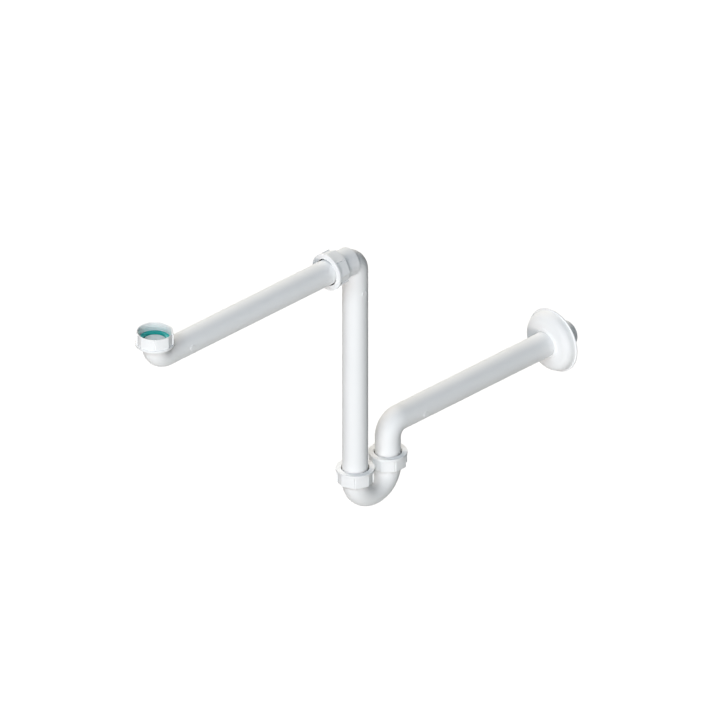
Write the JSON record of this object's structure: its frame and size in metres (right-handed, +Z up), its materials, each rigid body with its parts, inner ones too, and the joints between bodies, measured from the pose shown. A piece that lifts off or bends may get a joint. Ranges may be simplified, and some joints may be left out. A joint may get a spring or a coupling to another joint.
{
  "type": "space saving sink trap",
  "caption": "Space saving sink trap: a long level inlet leg, a slim upright leg, a low U-bend water seal, compression nuts and a long outlet leg with a wall rosette.",
  "frame": {"origin": "centre of the inlet washer's top face, where the trap seats under the basin waste", "axes": "+Z up through the inlet, +Y along the level legs from the basin towards the wall, +X to the side"},
  "size_m": [0.083, 0.7389, 0.3949],
  "materials": {
    "white_polypropylene": "injection moulded white polypropylene with a soft satin gloss",
    "natural_polyethylene": "uncoloured polyethylene, waxy and slightly milky",
    "black_rubber": "moulded black rubber, dull",
    "teal_elastomer": "moulded blue-green elastomer, dull"
  },
  "bodies": {
    "inlet": {"inlet_pipe": "white_polypropylene", "inlet_washer": "teal_elastomer"},
    "inlet_nut": {"inlet_nut": "white_polypropylene"},
    "elbow_seal": {"elbow_seal": "black_rubber"},
    "down_pipe": {"down_pipe": "white_polypropylene"},
    "elbow_slip_ring": {"elbow_slip_ring": "natural_polyethylene"},
    "elbow_nut": {"elbow_nut": "white_polypropylene"},
    "trap_inlet_seal": {"trap_inlet_seal": "black_rubber"},
    "trap_bend": {"trap_bend": "white_polypropylene"},
    "trap_inlet_slip_ring": {"trap_inlet_slip_ring": "natural_polyethylene"},
    "trap_inlet_nut": {"trap_inlet_nut": "white_polypropylene"},
    "trap_outlet_seal": {"trap_outlet_seal": "black_rubber"},
    "outlet_pipe": {"outlet_pipe": "white_polypropylene"},
    "trap_outlet_slip_ring": {"trap_outlet_slip_ring": "natural_polyethylene"},
    "trap_outlet_nut": {"trap_outlet_nut": "white_polypropylene"},
    "wall_rosette": {"wall_rosette": "white_polypropylene"}
  },
  "joints": [
    {"name": "inlet_nut_turn", "type": "hinge", "parent": "inlet", "child": "inlet_nut", "pos_m": [0, 0, 0], "axis": [0, 0, 1], "continuous": true},
    {"name": "elbow_insertion", "type": "slide", "parent": "inlet", "child": "elbow_seal", "axis": [0, 1, 0], "range_m": [-0.006, 0.012]},
    {"name": "elbow_swivel", "type": "hinge", "parent": "elbow_seal", "child": "down_pipe", "pos_m": [0, 0.3018, -0.0286], "axis": [0, 1, 0], "continuous": true},
    {"name": "elbow_nut_travel", "type": "slide", "parent": "down_pipe", "child": "elbow_slip_ring", "axis": [0, -1, 0], "range_m": [0, 0.0116]},
    {"name": "elbow_nut_turn", "type": "hinge", "parent": "elbow_slip_ring", "child": "elbow_nut", "pos_m": [0, 0.296, -0.0286], "axis": [0, -1, 0], "range_deg": [0, 1800]},
    {"name": "trap_inlet_insertion", "type": "slide", "parent": "down_pipe", "child": "trap_inlet_seal", "axis": [0, 0, 1], "range_m": [-0.0035, 0.0012]},
    {"name": "trap_swivel", "type": "hinge", "parent": "trap_inlet_seal", "child": "trap_bend", "pos_m": [0, 0.346, -0.3292], "axis": [0, 0, 1], "continuous": true},
    {"name": "trap_inlet_nut_travel", "type": "slide", "parent": "trap_bend", "child": "trap_inlet_slip_ring", "axis": [0, 0, 1], "range_m": [0, 0.0116]},
    {"name": "trap_inlet_nut_turn", "type": "hinge", "parent": "trap_inlet_slip_ring", "child": "trap_inlet_nut", "pos_m": [0, 0.346, -0.3234], "axis": [0, 0, 1], "range_deg": [0, 1800]},
    {"name": "outlet_swivel", "type": "hinge", "parent": "trap_bend", "child": "trap_outlet_seal", "pos_m": [0, 0.4025, -0.3292], "axis": [0, 0, 1], "range_deg": [-140, 140]},
    {"name": "outlet_insertion", "type": "slide", "parent": "trap_outlet_seal", "child": "outlet_pipe", "axis": [0, 0, 1], "range_m": [-0.0012, 0.0035]},
    {"name": "trap_outlet_nut_travel", "type": "slide", "parent": "trap_bend", "child": "trap_outlet_slip_ring", "axis": [0, 0, 1], "range_m": [0, 0.0116]},
    {"name": "trap_outlet_nut_turn", "type": "hinge", "parent": "trap_outlet_slip_ring", "child": "trap_outlet_nut", "pos_m": [0, 0.4025, -0.3234], "axis": [0, 0, 1], "range_deg": [0, 1800]},
    {"name": "rosette_slide", "type": "slide", "parent": "outlet_pipe", "child": "wall_rosette", "axis": [0, 1, 0], "range_m": [-0.2, 0.025]}
  ],
  "couplings": [
    {"joint": "elbow_nut_travel", "follows": "elbow_nut_turn", "m_per_rad": 0.00036749},
    {"joint": "trap_inlet_nut_travel", "follows": "trap_inlet_nut_turn", "m_per_rad": 0.00036749},
    {"joint": "trap_outlet_nut_travel", "follows": "trap_outlet_nut_turn", "m_per_rad": 0.00036749}
  ]
}
